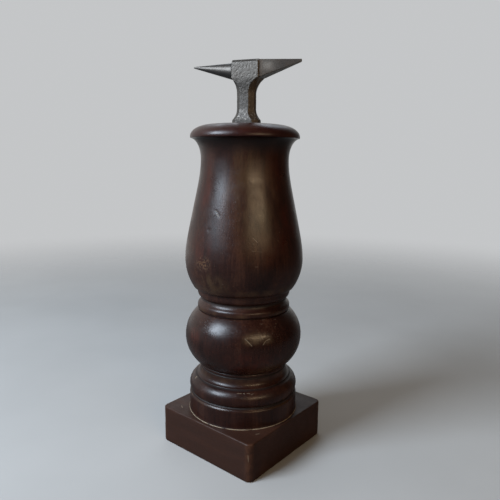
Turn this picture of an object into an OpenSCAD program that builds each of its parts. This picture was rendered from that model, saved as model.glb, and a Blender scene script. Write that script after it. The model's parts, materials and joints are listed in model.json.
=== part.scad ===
// Jeweller's stake anvil on a turned hardwood stand.
// The origin is the centre of the plinth's underside, +Z is up, X and Y are square to the plinth's sides.
// The anvil has its own directions: "along" runs through the square horn, "across" is level and square to it.

/* [Plinth] */
// Side of the square plinth
plinth_side = 146; // [140:1:156]
// Thickness of the plinth
plinth_h = 47; // [42:1:52]
// Radius of the plinth's upright corners
plinth_corner_r = 7; // [3:1:14]
// Width of the eased edge round the plinth's top and bottom
plinth_ease = 1.5; // [0.5:0.5:3]

/* [Column] */
// Radius of the drum that stands on the plinth
drum_r = 68; // [64:0.5:69]
// Largest radius of the bulb
bulb_r = 72.5; // [70:0.5:73]
// Height of the bulb's widest point above the ground
bulb_z = 144; // [143:0.5:145]
// Radius of the bulb's round outline, seen from the side
bulb_arc_r = 43.7; // [43:0.1:44.5]
// Largest radius of the vase
vase_r = 72; // [70:0.5:73]
// Height of the vase's widest point above the ground
vase_z = 240; // [238:1:242]
// Smallest radius of the vase's neck
neck_r = 52.4; // [50:0.2:55]
// Height of the neck's narrowest point above the ground
neck_z = 360; // [356:1:362]
// Height of the column's shoulder, where the cap lies on it
shoulder_z = 384; // [383:0.5:386]

/* [Cap] */
// Radius of the cap's sharp lower edge
cap_r = 65; // [62:0.5:67]
// Thickness of the cap
cap_h = 15.7; // [14:0.1:20]
// Radius of the flat part of the cap's top
cap_flat_r = 38; // [32:1:44]

/* [Anvil] */
// Height of the anvil above the cap
anvil_h = 72.3; // [68:0.1:76]
// Turn of the square horn from +X
anvil_turn = 19; // [0:1:45]
// Offset of the anvil's tang from the column's axis, in X and Y
anvil_offset = [1.1, 0.9]; // [-2:0.1:2]
// Length of the face block, along the horns
block_l = 33; // [30:1:36]
// Width of the face block, across the horns
block_w = 21; // [18:0.5:22]
// Height of the face block's upright sides
block_h = 19.7; // [18:0.1:20]
// Length of the waist's section, along the horns
waist_l = 22; // [20:0.5:23]
// Width of the waist's section, across the horns
waist_w = 17.3; // [16:0.1:17.8]
// Length of the foot, along the horns
foot_l = 33; // [30:0.5:34]
// Distance from the tang's axis to the tip of the round horn
round_horn_l = 68.5; // [60:0.5:69]
// Distance from the tang's axis to the tip of the square horn
square_horn_l = 65.5; // [60:0.5:69]

/* [Tang] */
// Length of the tang below the foot
tang_l = 62; // [50:1:70]
// Side of the square tang at the foot
tang_top = 13; // [11:0.5:14]
// Side of the square tang at its end
tang_end = 8; // [6:0.5:10]
// Gap between the tang and its mortise on every side
tang_gap = 0.35; // [0.3:0.05:0.6]

/* [Joinery] */
// Radius of the tenon under the column
tenon_r = 22; // [18:1:26]
// Radius of the spigot on top of the column
spigot_r = 24; // [20:1:26]
// Height of the spigot
spigot_h = 10; // [6:1:12]
// Glue gap round the tenon and the spigot
glue_gap = 0.1; // [0.05:0.05:0.2]
// Thickness of the wedge at its driven end
wedge_t = 5; // [3:0.5:6]

/* [Hidden] */
$fn = 96;

wood = [0.22, 0.10, 0.07];
cap_wood = [0.28, 0.12, 0.09];
plinth_wood = [0.20, 0.12, 0.09];
steel = [0.38, 0.37, 0.36];
wedge_wood = [0.55, 0.40, 0.26];

cap_top_z = shoulder_z + cap_h;
tenon_end_z = 1.5;
wedge_l = 30;
wedge_w = 36;
wedge_thin = 1.2;

// Points along a round outline: centre [radius, height], its own radius, and the angles of its two ends.
function round_run(centre, r, from, to, steps) =
    [for (i = [0 : steps])
        let (a = from + (to - from) * i / steps)
        [centre[0] + r * cos(a), centre[1] + r * sin(a)]];

// Angle at which a round outline of radius r passes a height dz above its centre.
function angle_at(dz, r) = asin(dz / r);

// Radius of the arc that is upright at one end and has moved sideways by run after climbing rise.
function sweep_r(run, rise) = (run * run + rise * rise) / (2 * run);

// ---- column outline, as [radius, height] points from the ground up ----

torus_centre = [55, 80];
torus_arc_r = 12.9;
torus_from_z = 74.2;
torus_to_z = 90.8;
bulb_centre = [bulb_r - bulb_arc_r, bulb_z];
bulb_from_z = 109.6;
bulb_to_z = 177.2;
vase_arc_r = 63;
vase_from_z = 205.5;
cove_flare = 13.6;

drum_outline = [
    [drum_r + 1, plinth_h],
    [drum_r + 0.2, plinth_h + 1.5],
    [drum_r, plinth_h + 3],
    [drum_r, 68],
    [drum_r - 0.6, 69.5],
    [drum_r - 1.6, 70.5],
    [drum_r - 1.6, 72],
    [drum_r - 2.8, 72.8],
    [drum_r - 2.6, 73.6]
];

torus_outline = concat(
    round_run(torus_centre, torus_arc_r,
        angle_at(torus_from_z - torus_centre[1], torus_arc_r),
        angle_at(torus_to_z - torus_centre[1], torus_arc_r), 12),
    [[61, 91.2], [59, 92], [59.2, 92.8]]
);

// The scotia is a quarter ellipse that ends upright at its narrowest radius.
scotia_top = [54, 101];
scotia_foot = [58.6, 93.5];
scotia_outline = concat(
    [for (i = [0 : 8])
        let (a = 90 * i / 8)
        [scotia_foot[0] - (scotia_foot[0] - scotia_top[0]) * sin(a),
         scotia_top[1] - (scotia_top[1] - scotia_foot[1]) * cos(a)]],
    [[54, 104.4], [53.2, 104.9], [54.6, 105.4], [55, 107.2], [54.6, 108.8], [53.8, 109.2]]
);

bulb_outline = round_run(bulb_centre, bulb_arc_r,
    angle_at(bulb_from_z - bulb_z, bulb_arc_r),
    angle_at(bulb_to_z - bulb_z, bulb_arc_r), 30);

bead_outline = [
    [55.7, 178.6],
    [56, 179.6],
    [56.6, 181],
    [56.4, 183.2],
    [55.6, 185.4],
    [54.4, 187.8],
    [53, 190],
    [52.2, 191.4],
    [52.6, 192.8],
    [54.8, 194.2],
    [56.2, 195.8],
    [57.1, 198.5],
    [57.3, 202],
    [58, 204]
];

// The vase's belly is an arc. Its long neck is a cosine wave, made a little straighter along the middle.
belly_outline = round_run([vase_r - vase_arc_r, vase_z], vase_arc_r,
    angle_at(vase_from_z - vase_z, vase_arc_r), 0, 14);
neck_lean = 0.025;
neck_outline = [for (i = [1 : 28])
    let (t = i / 28, s = t + neck_lean * sin(360 * t))
    [(vase_r + neck_r) / 2 + (vase_r - neck_r) / 2 * cos(180 * s),
     vase_z + (neck_z - vase_z) * t]];

// The flare under the cap is a quarter ellipse, cut off where it meets the cap's edge.
flare_outline = [for (i = [1 : 12])
    let (a = 86 * i / 12)
    [neck_r + cove_flare * (1 - cos(a)),
     neck_z + (shoulder_z - neck_z) * sin(a) / sin(86)]];

column_outline = concat(drum_outline, torus_outline, scotia_outline, bulb_outline,
    bead_outline, belly_outline, neck_outline, flare_outline);

// ---- shared shapes ----

// A square that tapers downwards from its top face at z = 0, as two crossed wedges.
module tapered_square(top, end, length) {
    module wedge_slab()
        rotate([90, 0, 0])
            translate([0, 0, -top])
                linear_extrude(2 * top)
                    polygon([[-top / 2, 0], [top / 2, 0], [end / 2, -length], [-end / 2, -length]]);
    intersection() {
        wedge_slab();
        rotate([0, 0, 90]) wedge_slab();
    }
}

// Moves its children from the anvil's own place to where the anvil stands, at the cap's top.
module at_anvil()
    translate([anvil_offset[0], anvil_offset[1], cap_top_z])
        rotate([0, 0, anvil_turn])
            children();

// The mortise that the tang drops into, open at the top and a little deeper than the tang.
mortise_spare = 3;
tang_slope = (tang_top - tang_end) / tang_l;
module tang_mortise()
    at_anvil() {
        mouth = tang_top + 2 * tang_gap;
        depth = tang_l + mortise_spare;
        tapered_square(mouth, mouth - tang_slope * depth, depth);
    }

// ---- wooden parts ----

module rounded_square(side, r) {
    square([side, side - 2 * r], center = true);
    square([side - 2 * r, side], center = true);
    for (x = [-1, 1], y = [-1, 1])
        translate([x * (side / 2 - r), y * (side / 2 - r)])
            circle(r);
}

// A slab seen from one side, with its four long edges eased.
module eased_slab() {
    h = plinth_side / 2;
    e = plinth_ease;
    rotate([90, 0, 0])
        translate([0, 0, -plinth_side])
            linear_extrude(2 * plinth_side)
                polygon([[-h, e], [-h + e, 0], [h - e, 0], [h, e],
                    [h, plinth_h - e], [h - e, plinth_h], [-h + e, plinth_h], [-h, plinth_h - e]]);
}

module plinth()
    color(plinth_wood)
        difference() {
            intersection() {
                linear_extrude(plinth_h) rounded_square(plinth_side, plinth_corner_r);
                eased_slab();
                rotate([0, 0, 90]) eased_slab();
            }
            translate([0, 0, -1]) cylinder(h = plinth_h + 2, r = tenon_r + glue_gap);
        }

// The wedge tapers upwards from its driven end, which is level with the tenon's end.
module wedge_body()
    translate([0, 0, tenon_end_z])
        rotate([90, 0, 0])
            translate([0, 0, -wedge_w / 2])
                linear_extrude(wedge_w)
                    polygon([[-wedge_t / 2, 0], [wedge_t / 2, 0],
                        [wedge_thin / 2, wedge_l], [-wedge_thin / 2, wedge_l]]);

module column()
    color(wood)
        difference() {
            union() {
                rotate_extrude()
                    polygon(concat([[0, plinth_h]], column_outline, [[0, shoulder_z]]));
                translate([0, 0, tenon_end_z])
                    cylinder(h = plinth_h - tenon_end_z + 1, r = tenon_r);
                translate([0, 0, shoulder_z - 1])
                    cylinder(h = spigot_h + 1, r = spigot_r);
            }
            tang_mortise();
            wedge_body();
        }

// The cap's rim is a quarter ellipse over a short upright edge.
rim_edge_h = 1.5;
rim_outline = [for (i = [0 : 16])
    let (a = 90 * i / 16)
    [cap_flat_r + (cap_r - cap_flat_r) * cos(a),
     shoulder_z + rim_edge_h + (cap_h - rim_edge_h) * sin(a)]];

module cap()
    color(cap_wood)
        difference() {
            rotate_extrude()
                polygon(concat([[0, shoulder_z], [cap_r, shoulder_z]], rim_outline, [[0, cap_top_z]]));
            translate([0, 0, shoulder_z - 1])
                cylinder(h = spigot_h + 1 + glue_gap, r = spigot_r + glue_gap);
            tang_mortise();
        }

module tenon_wedge()
    color(wedge_wood)
        wedge_body();

// ---- anvil ----

collar_h = 5.3;
flare_top_z = 18.3;
waist_top_z = 34.3;
block_z = anvil_h - block_h;
block_shift = 1.3;
waist_chamfer = 5.6;
foot_chamfer = 6.2;
face_ease = 3;

// One side of a plate's outline, from its foot to its top, as [half width, height] points. Two round sweeps
// narrow the foot and the block down to the waist, and spare makes the plate longer at both ends.
sweep_steps = 7;
function plate_side(half_foot, half_waist, half_block, spare) =
    let (down_rise = flare_top_z - collar_h, up_rise = block_z - waist_top_z,
        down_r = sweep_r(half_foot - half_waist, down_rise),
        up_r = sweep_r(half_block - half_waist, up_rise))
    concat(
        [[half_foot, -spare]],
        round_run([half_waist + down_r, flare_top_z], down_r,
            180 + asin(down_rise / down_r), 180, sweep_steps),
        round_run([half_waist + up_r, waist_top_z], up_r,
            180, 180 - asin(up_rise / up_r), sweep_steps),
        [[half_block, anvil_h + spare]]
    );

// A plate with a foot, a waist and a block, seen from the front. Its block is moved sideways by shift.
module waisted_plate(half_foot, half_waist, half_block, shift, depth, spare) {
    right = plate_side(half_foot, half_waist, half_block + shift, spare);
    left = plate_side(half_foot, half_waist, half_block - shift, spare);
    rotate([90, 0, 0])
        translate([0, 0, -depth / 2])
            linear_extrude(depth)
                polygon(concat(right, [for (i = [len(left) - 1 : -1 : 0]) [-left[i][0], left[i][1]]]));
}

// The block, waist and foot are what four crossed plates share. The two turned by 45 degrees cut the chamfers,
// which run out just under the block.
module anvil_body() {
    corner_foot = (foot_l / 2 + block_w / 2 - foot_chamfer) / sqrt(2);
    corner_waist = (waist_l / 2 + waist_w / 2 - waist_chamfer) / sqrt(2);
    corner_block = (block_l / 2 + block_shift + block_w / 2) / sqrt(2) + 1;
    intersection() {
        waisted_plate(foot_l / 2, waist_l / 2, block_l / 2, block_shift, 3 * block_w, 0);
        rotate([0, 0, 90])
            waisted_plate(block_w / 2, waist_w / 2, block_w / 2, 0, 3 * block_l, 1);
        rotate([0, 0, 45])
            waisted_plate(corner_foot, corner_waist, corner_block, 0, 3 * block_l, 2);
        rotate([0, 0, -45])
            waisted_plate(corner_foot, corner_waist, corner_block, 0, 3 * block_l, 2);
    }
}

// Wedges that ease the two long edges of the face.
module face_easing()
    for (side = [-1, 1])
        translate([block_shift, side * block_w / 2, anvil_h])
            rotate([45, 0, 0])
                cube([block_l + 2, face_ease * sqrt(2), face_ease * sqrt(2)], center = true);

// The round horn is a plain cone that climbs a little towards its rounded tip.
horn_root_r = 10.2;
horn_tip_r = 1;
horn_root_z = 60.2;
horn_tip_z = 67.4;
module round_horn() {
    root_x = block_shift - block_l / 2 + 3;
    run = round_horn_l - horn_tip_r + root_x;
    climb = horn_tip_z - horn_root_z;
    length = sqrt(run * run + climb * climb);
    translate([root_x, 0, horn_root_z])
        rotate([0, -90 + atan(climb / run), 0]) {
            cylinder(h = length, r1 = horn_root_r, r2 = horn_tip_r);
            translate([0, 0, length]) sphere(horn_tip_r);
        }
}

// The square horn has a nearly level top, and tapers below and on both sides to a blunt tip.
// Its heights are given as [underside, top].
square_horn_root_z = [51.2, 71.7];
square_horn_tip_z = [67.6, 70.6];
square_horn_root_w = 19;
square_horn_tip_w = 2.4;
module square_horn() {
    root_x = block_shift + block_l / 2 - 3;
    intersection() {
        rotate([90, 0, 0])
            translate([0, 0, -block_w])
                linear_extrude(2 * block_w)
                    polygon([[root_x, square_horn_root_z[0]], [square_horn_l, square_horn_tip_z[0]],
                        [square_horn_l, square_horn_tip_z[1]], [root_x, square_horn_root_z[1]]]);
        linear_extrude(anvil_h)
            polygon([[root_x, -square_horn_root_w / 2], [square_horn_l, -square_horn_tip_w / 2],
                [square_horn_l, square_horn_tip_w / 2], [root_x, square_horn_root_w / 2]]);
    }
}

module stake_anvil()
    color(steel)
        at_anvil() {
            difference() {
                anvil_body();
                face_easing();
            }
            round_horn();
            square_horn();
            translate([0, 0, 0.5]) tapered_square(tang_top + 0.5 * tang_slope, tang_end, tang_l + 0.5);
        }

plinth();
column();
cap();
stake_anvil();
tenon_wedge();
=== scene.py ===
"""Jeweller's stake anvil on a turned stand: its shown pieces, their finishes and a small studio.

Every shape is worked out in millimetres as whole numpy arrays, and put into its mesh in metres.
"""
import json
import math

import bpy
import numpy as np
from bpy.props import FloatProperty, FloatVectorProperty, IntProperty, PointerProperty
from mathutils import Matrix, Vector


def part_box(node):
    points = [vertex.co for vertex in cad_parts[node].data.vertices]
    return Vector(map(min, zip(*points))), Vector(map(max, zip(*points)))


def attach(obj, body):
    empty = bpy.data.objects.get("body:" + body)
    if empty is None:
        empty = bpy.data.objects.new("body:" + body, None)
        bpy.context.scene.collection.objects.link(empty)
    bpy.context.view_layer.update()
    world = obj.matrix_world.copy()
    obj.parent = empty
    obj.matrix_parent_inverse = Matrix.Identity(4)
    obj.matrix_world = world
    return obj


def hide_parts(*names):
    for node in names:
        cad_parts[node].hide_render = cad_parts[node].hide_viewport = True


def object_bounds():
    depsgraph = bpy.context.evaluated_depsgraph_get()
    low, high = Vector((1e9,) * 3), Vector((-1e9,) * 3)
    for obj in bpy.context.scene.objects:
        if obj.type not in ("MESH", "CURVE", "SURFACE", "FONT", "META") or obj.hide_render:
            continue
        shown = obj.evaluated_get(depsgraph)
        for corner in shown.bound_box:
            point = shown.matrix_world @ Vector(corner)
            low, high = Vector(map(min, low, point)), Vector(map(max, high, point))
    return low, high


bl_info = {
    "name": "Stake Anvil Stand",
    "version": (1, 0, 0),
    "blender": (4, 5, 0),
    "location": "3D View > Sidebar > Anvil Stand",
    "description": "Builds a stake anvil in its turned hardwood stand, with its finishes and a studio",
    "category": "Object",
}

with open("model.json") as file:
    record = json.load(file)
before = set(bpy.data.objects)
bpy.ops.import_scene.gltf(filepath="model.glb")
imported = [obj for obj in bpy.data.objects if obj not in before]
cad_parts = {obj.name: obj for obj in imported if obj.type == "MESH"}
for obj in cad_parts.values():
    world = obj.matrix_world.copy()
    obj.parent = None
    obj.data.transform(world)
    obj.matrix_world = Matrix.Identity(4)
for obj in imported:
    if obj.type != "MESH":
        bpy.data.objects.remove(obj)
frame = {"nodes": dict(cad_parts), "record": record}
cad_box = [list(corner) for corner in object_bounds()]

MM = 0.001


def rest_box(node):
    """Lowest and highest corner of a CAD node, in millimetres."""
    low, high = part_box(node)
    return np.array(low) / MM, np.array(high) / MM


def mount(name):
    """Place and axis of one of the record's mounts, with the place in millimetres."""
    row = next(m for m in frame["record"]["mounts"] if m["name"] == name)
    return np.array(row["pos_m"]) / MM, np.array(row["axis"], float)


# The anvil's own directions: along runs through the square horn, across is level and square to it.
BLOCK_SHIFT = 1.3
face_place, _ = mount("anvil_face")
_, horn_axis = mount("round_horn")
ANVIL_TURN = math.atan2(-horn_axis[1], -horn_axis[0])
along_axis = np.array([math.cos(ANVIL_TURN), math.sin(ANVIL_TURN)])
TANG_CENTRE = face_place[:2] - BLOCK_SHIFT * along_axis
PLINTH_TOP = rest_box("plinth")[1][2]
CAP_FOOT, CAP_TOP = rest_box("cap")[0][2], rest_box("cap")[1][2]
TENON_END = rest_box("column")[0][2]
SPIGOT_TOP = rest_box("column")[1][2]
ANVIL_TOP = rest_box("stake_anvil")[1][2]
GLUE_GAP = 0.1


# ---- sizes and colours a user would change ----

def length(name, description, millimetres, low=0.0, high=1000.0):
    """A length setting, shown in the scene's unit."""
    return FloatProperty(name=name, description=description, default=millimetres * MM,
                         min=low * MM, max=high * MM, unit="LENGTH", precision=5)


def colour(name, description, value):
    """A colour setting, as linear red, green and blue."""
    return FloatVectorProperty(name=name, description=description, default=value, size=3,
                               min=0.0, max=1.0, subtype="COLOR")


def share(name, description, value):
    """A setting from 0 to 1."""
    return FloatProperty(name=name, description=description, default=value, min=0.0, max=1.0,
                         subtype="FACTOR")


class WoodSettings(bpy.types.PropertyGroup):
    """Colours of the waxed mahogany."""

    dark: colour("Dark grain", "Colour of the darkest grain", (0.0062, 0.0016, 0.0011))
    middle: colour("Middle grain", "Colour of most of the wood", (0.0185, 0.0052, 0.0032))
    light: colour("Light grain", "Colour of the lightest grain", (0.0420, 0.0155, 0.0085))
    red: colour("Red zone", "Colour where the old polish shows red", (0.0520, 0.0085, 0.0038))
    # This colour is also laid on as painted highlight, where the lamp catches the vase and bulb and on the
    # lit bands.
    olive: colour("Faded zone", "Colour where the polish has faded", (0.0560, 0.0310, 0.0145))
    bare: colour("Bare wood", "Colour where the finish is rubbed through", (0.105, 0.048, 0.019))
    scratch: colour("Scratch", "Colour of bare scratches and worn specks", (0.30, 0.235, 0.16))
    gloss: share("Polish roughness", "Roughness of the waxed polish", 0.33)


class ColumnSettings(bpy.types.PropertyGroup):
    """Sizes of the turned column."""

    tenon_radius: length("Tenon radius", "Radius of the tenon in the plinth", 22.0)
    spigot_radius: length("Spigot radius", "Radius of the spigot in the cap", 24.0)
    wobble: length("Wobble", "How far the turned surface strays from true", 0.16, 0.0, 1.0)
    around: IntProperty(name="Points around", description="Mesh points around the column",
                        default=208, min=64, max=256, step=8)


class CapSettings(bpy.types.PropertyGroup):
    """Sizes of the cap."""

    flat_radius: length("Flat radius", "Radius of the flat part of the cap's top", 38.0)
    edge_height: length("Edge height", "Height of the short upright edge of the rim", 1.5)


class PlinthSettings(bpy.types.PropertyGroup):
    """Sizes of the plinth."""

    corner_radius: length("Corner radius", "Radius of the four upright corners", 7.0)
    edge_radius: length("Edge radius", "Roundness of the worn top and bottom edges", 1.5)
    worn_corner: colour("Worn corner", "Colour of the rubbed upright corners", (0.075, 0.027, 0.011))


class AnvilSettings(bpy.types.PropertyGroup):
    """Sizes and colours of the forged anvil."""

    hammering: length("Hammering", "Depth of the hammer texture", 0.07, 0.0, 0.5)
    pitting: length("Pitting", "Depth of the pits in the block", 0.20, 0.0, 0.8)
    grain: length("Mesh grain", "Size of the mesh's own cells", 0.42, 0.3, 2.0)
    steel: colour("Steel", "Colour of the grey steel", (0.124, 0.111, 0.098))
    bright: colour("Bright steel", "Colour of the rubbed edges", (0.40, 0.36, 0.315))
    patina: colour("Patina", "Colour of the brown patina", (0.046, 0.028, 0.015))
    # Also the colour of the painted shade on the round horn's top and on the undersides.
    oxide: colour("Oxide", "Colour of the blackened steel", (0.020, 0.0185, 0.018))


class StudioSettings(bpy.types.PropertyGroup):
    """Camera, floor and lights."""

    lens: FloatProperty(name="Lens", description="Focal length of the camera", default=36.757,
                        min=10.0, max=200.0, unit="CAMERA")
    distance: length("Distance", "Level distance from the column's axis to the camera", 619.758)
    height: length("Height", "Height of the camera above the floor", 362.448)
    azimuth: FloatProperty(name="Azimuth", description="Turn of the camera round the stand",
                           default=math.radians(40.35), subtype="ANGLE")
    pitch: FloatProperty(name="Pitch", description="How far the camera looks down",
                         default=0.1804294, subtype="ANGLE")
    yaw: FloatProperty(name="Yaw", description="How far the camera looks right of the axis",
                       default=0.0117366, subtype="ANGLE")
    roll: FloatProperty(name="Roll", description="How far the camera leans",
                        default=0.0105781, subtype="ANGLE")
    floor: colour("Floor", "Colour of the floor", (0.43, 0.42, 0.405))
    surround: colour("Surround", "Colour behind the object", (0.555, 0.565, 0.575))
    window: colour("Window light", "Colour of the large cool light", (0.74, 0.86, 1.0))
    lamp: colour("Lamp light", "Colour of the small warm light", (1.0, 0.74, 0.46))


SETTINGS = {
    "stand_wood": WoodSettings,
    "stand_column": ColumnSettings,
    "stand_cap": CapSettings,
    "stand_plinth": PlinthSettings,
    "stand_anvil": AnvilSettings,
    "stand_studio": StudioSettings,
}


# ---- shapes as whole arrays, in millimetres ----

SHARP_ANGLE = 50.0
NOISE_TABLE = 4096
NOISE_PRIMES = (73856093, 19349663, 83492791)


def lattice_noise(points, cell, seed):
    """Smooth random values from -1 to 1: random numbers on a cubic lattice, blended between its corners."""
    place = np.asarray(points, float) / cell
    base = np.floor(place).astype(np.int64)
    part = place - base
    part = part * part * (3.0 - 2.0 * part)
    table = np.random.default_rng(seed).uniform(-1.0, 1.0, NOISE_TABLE)
    total = np.zeros(place.shape[:-1])
    for corner in range(8):
        step = np.array([corner & 1, corner >> 1 & 1, corner >> 2 & 1])
        key = np.bitwise_xor.reduce((base + step) * np.array(NOISE_PRIMES), axis=-1)
        weight = np.prod(np.where(step == 1, part, 1.0 - part), axis=-1)
        total += weight * table[key % NOISE_TABLE]
    return total


def rise(value, low, high):
    """0 below low, 1 above high, and an S curve between: t t (3 - 2 t)."""
    t = np.clip((value - low) / (high - low), 0.0, 1.0)
    return t * t * (3.0 - 2.0 * t)


def round_run(centre, radius, low, high, count):
    """Points on a round outline between two heights: centre + radius (cos a, sin a)."""
    first = math.asin((low - centre[1]) / radius)
    last = math.asin((high - centre[1]) / radius)
    a = np.linspace(first, last, count)
    return np.stack([centre[0] + radius * np.cos(a), centre[1] + radius * np.sin(a)], 1)


def respace(outline, knots):
    """Spreads points along an outline. Each knot is a height and the spacing wanted there.

    The distance along the outline is divided by the wanted spacing and summed, and the new points
    are evenly spread over that sum. One pass of weights 1, 4, 1 then softens the corners.
    """
    outline, knots = np.asarray(outline, float), np.asarray(knots, float)
    run = np.concatenate([[0.0], np.cumsum(np.hypot(*np.diff(outline, axis=0).T))])
    dense = np.linspace(0.0, run[-1], int(run[-1] * 10) + 2)
    spacing = np.interp(np.interp(dense, run, outline[:, 1]), knots[:, 0], knots[:, 1])
    total = np.cumsum(1.0 / spacing) * dense[1]
    wanted = np.linspace(total[0], total[-1], int(total[-1] - total[0]) + 2)
    at = np.interp(wanted, total, dense)
    points = np.stack([np.interp(at, run, outline[:, k]) for k in (0, 1)], 1)
    points[1:-1] = (points[:-2] + 4.0 * points[1:-1] + points[2:]) / 6.0
    return points


def round_angles(count, start=0.0):
    """Angles evenly spread round a circle."""
    return start + np.linspace(0.0, 2.0 * math.pi, count, endpoint=False)


def round_loops(outline, angles):
    """Turns an outline of [radius, height] round the axis: (r cos a, r sin a, z)."""
    r, z = np.asarray(outline, float).T
    return np.stack([r[:, None] * np.cos(angles), r[:, None] * np.sin(angles),
                     np.repeat(z[:, None], len(angles), 1)], -1)


def square_loop(centre, half, z, angles, turn):
    """A square loop: the unit circle divided by the larger of |cos| and |sin|, turned with the anvil."""
    own = angles - turn
    reach = half / np.maximum(np.abs(np.cos(own)), np.abs(np.sin(own)))
    return np.stack([centre[0] + reach * np.cos(angles), centre[1] + reach * np.sin(angles),
                     np.full(len(angles), float(z))], -1)


def between(first, last, count, ends=False):
    """Loops evenly spread from one loop to another, without the two themselves unless ends is set."""
    t = np.linspace(0.0, 1.0, count + 2)
    t = t if ends else t[1:-1]
    return first + (last - first) * t[:, None, None]


def strips(rows, around):
    """Corner numbers of the loops, those of the corners beside them, and the quads between loops."""
    index = np.arange(rows * around).reshape(rows, around)
    beside = np.roll(index, -1, axis=1)
    quads = np.stack([index[:-1], beside[:-1], beside[1:], index[1:]], -1).reshape(-1, 4)
    return index, beside, quads


def skin(loops, joined):
    """Faces between neighbouring loops. The last loop joins the first, or a point closes each end."""
    index, beside, quads = strips(*loops.shape[:2])
    points = loops.reshape(-1, 3)
    if joined:
        quads = np.stack([index, beside, np.roll(beside, -1, 0), np.roll(index, -1, 0)], -1)
        return points, quads.reshape(-1, 4), np.zeros((0, 3), int)
    poles = np.stack([loops[0].mean(0), loops[-1].mean(0)])
    first = np.full(loops.shape[1], len(points))
    below = np.stack([beside[0], index[0], first], -1)
    above = np.stack([index[-1], beside[-1], first + 1], -1)
    return np.concatenate([points, poles]), quads, np.concatenate([below, above])


def put_mesh(name, points, quads, tris):
    """Makes an object at the origin from points in millimetres, quads and triangles."""
    mesh = bpy.data.meshes.new(name)
    mesh.vertices.add(len(points))
    mesh.vertices.foreach_set("co", (np.asarray(points) * MM).astype(np.float32).ravel())
    corners = np.concatenate([quads.ravel(), tris.ravel()]).astype(np.int32)
    counts = np.concatenate([np.full(len(quads), 4), np.full(len(tris), 3)])
    mesh.loops.add(len(corners))
    mesh.loops.foreach_set("vertex_index", corners)
    mesh.polygons.add(len(counts))
    starts = np.concatenate([[0], np.cumsum(counts)[:-1]]).astype(np.int32)
    mesh.polygons.foreach_set("loop_start", starts)
    mesh.polygons.foreach_set("use_smooth", np.ones(len(counts), bool))
    mesh.update(calc_edges=True)
    mesh.validate()
    made = bpy.data.objects.new(name, mesh)
    bpy.context.scene.collection.objects.link(made)
    return made


def put_attributes(made, marks):
    """Stores one number per point under each name."""
    for name, values in marks.items():
        layer = made.data.attributes.new(name, "FLOAT", "POINT")
        layer.data.foreach_set("value", values.astype(np.float32))


def level_outward(rows):
    """Level unit vectors that point from the axis to each point."""
    outward = rows * np.array([1.0, 1.0, 0.0])
    return outward / np.linalg.norm(outward, axis=-1, keepdims=True)


def sharpen(made, degrees=SHARP_ANGLE):
    """Marks the edges whose faces meet at more than this angle as sharp."""
    made.data.set_sharp_from_angle(angle=math.radians(degrees))


def path_distance(points, path):
    """Shortest distance from points of a turned surface to a path of [azimuth in degrees, height].

    The surface is unrolled at each point's own radius, so the distance is measured along it.
    """
    radius = np.hypot(points[..., 0], points[..., 1])
    azimuth = np.degrees(np.arctan2(points[..., 1], points[..., 0]))
    best = np.full(radius.shape, 1e9)
    path = np.asarray(path, float)
    for start, end in zip(path[:-1], path[1:]):
        turn = (azimuth - start[0] + 180.0) % 360.0 - 180.0
        here = np.stack([np.radians(turn) * radius, points[..., 2] - start[1]], -1)
        step = np.stack([math.radians(end[0] - start[0]) * radius,
                         np.full(radius.shape, end[1] - start[1])], -1)
        share_along = np.clip((here * step).sum(-1) / np.maximum((step * step).sum(-1), 1e-9), 0, 1)
        gap = here - step * share_along[..., None]
        best = np.minimum(best, np.hypot(gap[..., 0], gap[..., 1]))
    return best


# ---- node trees ----

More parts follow.
